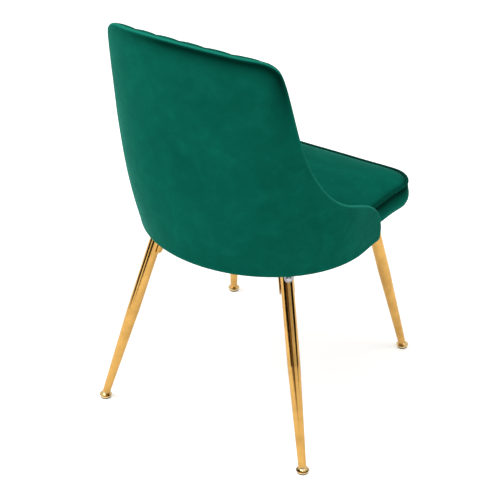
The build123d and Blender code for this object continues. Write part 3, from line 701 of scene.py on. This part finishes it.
# ---------------------------------------------------------------- Seat cushion
# A foam slab on the board with a crowned top and a soft band round the frame's edge, all in
# velvet. The cover is one skin over foam, turned under the frame and stapled inside.
cushion_low, cushion_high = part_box("seat_cushion")
seat_front = cushion_low.y
seat_rear_half, seat_rear_depth, seat_rear_middle = 0.2076, 0.1924, -0.0082
seat_corner_x = cushion_high.x + 0.0020
seat_corner_radius = 0.047
seat_front_bow = 0.0020
seat_arm_y = -0.085
seat_columns = 288
crown_inset = 0.0044
seam_z = seat_edge - 0.0006
crown = cushion_high.z - seam_z
pocket_wall = 0.0076
pocket_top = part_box("seat_board")[1].z + 0.0004
puff = 0.0026  # how far the side band swells out in front of the arms
puff_in_table = 0.0015  # the swell that the band's rows below are written for
crown_rings = 34

turn = np.radians(np.linspace(0, 180, 41))
rear_arc = np.stack([seat_rear_half * np.cos(turn), seat_rear_middle + seat_rear_depth * np.sin(turn)], 1)
corner_turn = np.radians(np.linspace(188, 268, 9))
corner_centre = (seat_corner_radius - seat_corner_x, seat_front + seat_corner_radius + seat_front_bow * 0.5)
corner_arc = np.stack([corner_centre[0] + seat_corner_radius * np.cos(corner_turn),
                       corner_centre[1] + seat_corner_radius * np.sin(corner_turn)], 1)
left_side = np.array([
    (-seat_rear_half, -0.030), (-seat_rear_half, -0.055), (-seat_rear_half - 0.0009, seat_arm_y),
    (-seat_rear_half - 0.0038, -0.115), (-seat_rear_half - 0.0078, -0.148),
])
front_x = np.array([-0.125, -0.08, 0.0])
front_arc = np.stack([front_x, seat_front + seat_front_bow * (front_x / seat_corner_x) ** 2], 1)
half_plan = np.concatenate([rear_arc[20:], left_side, corner_arc, front_arc])
half_plan = resample(half_plan, seat_columns // 2 + 1)
mirror = half_plan[-2::-1] * (-1, 1)
seat_plan = np.concatenate([half_plan, mirror])
tangent = np.roll(seat_plan[:-1], -1, 0) - np.roll(seat_plan[:-1], 1, 0)
tangent = np.concatenate([tangent, tangent[:1]])
tangent /= np.linalg.norm(tangent, axis=1)[:, None]
inward = np.stack([-tangent[:, 1], tangent[:, 0]], 1)
if (inward[0] * -seat_plan[0]).sum() < 0:
    inward = -inward
seat_middle = np.array((0.0, -0.03))
open_side = eased((seat_arm_y - 0.004 - seat_plan[:, 1]) / 0.025)


def seat_ring(inset, z, shrink=1.0):
    """The seat's plan moved inwards by inset, then drawn in towards its middle."""
    plan = seat_plan + inward * np.asarray(inset)[..., None]
    plan = seat_middle + (plan - seat_middle) * shrink
    return np.concatenate([plan, np.full((len(plan), 1), z)], 1)


rings, ring_painted_light = [], []
for k in np.sin(np.linspace(0, math.pi / 2, crown_rings)):
    edge_pull = 0.0016 * math.exp(-((1 - k) / 0.03) ** 2)
    rings.append(seat_ring(crown_inset, seam_z + crown * (1 - k**4) ** 0.8 - edge_pull, k))
    # Painted shade at the crown's edge, next to the piping.
    ring_painted_light.append(-0.55 * math.exp(-((1 - k) / 0.022) ** 2))
side_band = (  # inset and drop in millimetres, painted light on the pile: painted shade below 0, painted highlight above 0
    (4.3, 2.2, -1.0), (2.6, 2.75, -1.0), (1.2, 3.1, -1.0), (0.5, 4.4, -1.0), (0.25, 7.0, -0.95),
    (0.0, 10.0, -0.85), (-0.4, 14.0, -0.62), (-0.9, 19.0, -0.38), (-1.4, 24.5, -0.14),
    (-1.55, 30.0, 0.06), (-1.1, 35.0, 0.16), (-0.1, 39.5, 0.14), (1.6, 43.2, 0.05),
    (3.8, 45.4, 0.0), (6.4, 46.0, 0.0),
)
for inset_mm, drop_mm, shade in side_band:
    swell = np.where(inset_mm < 0, inset_mm * open_side * puff / puff_in_table, inset_mm) / 1000
    rings.append(seat_ring(swell + 0.0003 * (1 - open_side), seat_edge - drop_mm / 1000))
    ring_painted_light.append(shade)
for inset, z in ((pocket_wall, seat_edge - 0.0452), (pocket_wall, seat_edge - 0.034),
                 (pocket_wall, pocket_top - 0.004), (pocket_wall + 0.0008, pocket_top)):
    rings.append(seat_ring(inset, z))
    ring_painted_light.append(0.0)
for k in (0.75, 0.5, 0.25, 0.0):
    rings.append(seat_ring(pocket_wall, pocket_top, k))
    ring_painted_light.append(0.0)
rings = np.array(rings)
ring_painted_light = np.repeat(np.array(ring_painted_light)[:, None], rings.shape[1], 1)
cushion = grid_object(rings, "seat_cushion_cover", green_velvet, ring_painted_light, Vector((0, 0, 1)), merge=2e-5)
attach(cushion, "frame")
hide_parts("seat_cushion")

# ---------------------------------------------------------------- Seat piping
# A cord in a bias strip of the same velvet, sewn between the cushion's top and its side band
# all the way round. Its own seam shows as a fine line underneath.
piping_radius = (piping_high.z - piping_low.z) / 2
piping_inset = 0.0017
piping_sides = 14
# The same velvet with its colours at about half, as painted shade on the cord.
piping_velvet_painted_shade = velvet("piping_velvet_painted_shade", darker(velvet_deep, 0.45), darker(velvet_body, 0.5),
                       darker(velvet_light, 0.5), 2200.0)
tube = []
for turn in np.radians(np.linspace(0, 360, piping_sides + 1)):
    pinch = 1.0 + 0.10 * max(0.0, -math.sin(turn)) ** 8
    reach = piping_radius * pinch
    tube.append(seat_ring(piping_inset - reach * math.cos(turn), seat_edge + reach * math.sin(turn)))
piping = grid_object(np.array(tube), "seat_piping_cord", piping_velvet_painted_shade, None, Vector((0, 0, 1)))
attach(piping, "frame")
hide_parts("seat_piping")

# ---------------------------------------------------------------- Dust cover
# Black spun-bonded cloth stapled under the seat frame, cut out round the leg brackets.
# The cloth has the small embossed points that hold its fibres together.
cloth_black = (0.010, 0.010, 0.011, 1.0)
cloth_grey = (0.028, 0.028, 0.030, 1.0)
cloth = Paint("black_nonwoven")
points = cloth.node("ShaderNodeTexVoronoi", {}, {
    "Vector": cloth.place, "Scale": 620.0, "Randomness": 0.15})
fibres = cloth.noise(900.0, 4.0, 0.7, 2.0)
cloth.surface({
    "Base Color": cloth.mix(cloth.spread(fibres, 0.4, 0.7), cloth_black, cloth_grey),
    "Roughness": 0.75 + 0.2 * fibres, "Specular IOR Level": 0.25,
    "Normal": cloth.bump(cloth.spread(points, 0.1, 0.45) + 0.4 * fibres, 0.0003)})
finish_nodes(["dust_cover"], cloth.material)
finish_nodes(["dust_cover_staples"], bright)

# ---------------------------------------------------------------- Leg brackets
# Pressed and welded steel, plated in gold tone like the legs: a plate bolted up into the
# battens, and a half tube that the leg's top beds in, with one bolt through both.
gold_bright = (0.62, 0.355, 0.10, 1.0)
gold_deep = (0.47, 0.26, 0.07, 1.0)
leg_names = ("front_left", "front_right", "rear_left", "rear_right")
gold = Paint("gold_plating")
cloud = gold.noise(26.0, 4.0, 0.6, 0.3)
lines = gold.noise(1100.0, 3.0, 0.6, 0.0, (0.25, 0.25, 2.0))
gold.surface({
    "Base Color": gold.mix(gold.spread(cloud, 0.35, 0.68), gold_bright, gold_deep),
    "Metallic": 1.0, "Roughness": 0.07 + 0.05 * cloud + 0.04 * lines,
    "Normal": gold.bump(lines, 0.00004, 0.5)})
finish_nodes([f"leg_bracket_{leg}" for leg in leg_names], gold.material)
finish_nodes(["leg_bolts", "leg_washers", "leg_nuts"], bright)

# ---------------------------------------------------------------- Legs
# Round steel tube, straight above and swaged to a taper below, polished and plated in gold
# tone with a clear lacquer. A steel insert is pressed into each lower end for the glide.
cup_bright = (0.93, 0.70, 0.34, 1.0)
cup_deep = (0.80, 0.55, 0.22, 1.0)
finish_nodes([f"leg_{leg}" for leg in leg_names], gold.material)
cup_plating = plated("cup_plating", cup_bright, cup_deep, 0.05, 0.08, 90.0)
finish_nodes([f"glide_cup_{leg}" for leg in leg_names], cup_plating)
finish_nodes(["foot_inserts"], zinc)

# ---------------------------------------------------------------- Levelling glides
# Each foot is a turned cup on a ball-ended M6 stud, with a rubber pad pressed into it. Turning
# the stud screws it out of the insert in the leg's end, and the foot goes down with it.
rubber_black = (0.012, 0.012, 0.012, 1.0)
rubber_dusty = (0.045, 0.044, 0.042, 1.0)
rubber = Paint("black_rubber")
dust = rubber.noise(140.0, 4.0, 0.65)
rubber.surface({
    "Base Color": rubber.mix(rubber.spread(dust, 0.5, 0.8), rubber_black, rubber_dusty),
    "Roughness": 0.55 + 0.3 * dust, "Specular IOR Level": 0.4,
    "Normal": rubber.bump(dust, 0.0002, 0.5)})
finish_nodes([f"glide_pad_{leg}" for leg in leg_names], rubber.material)
finish_nodes([f"glide_stud_{leg}" for leg in leg_names], bright)
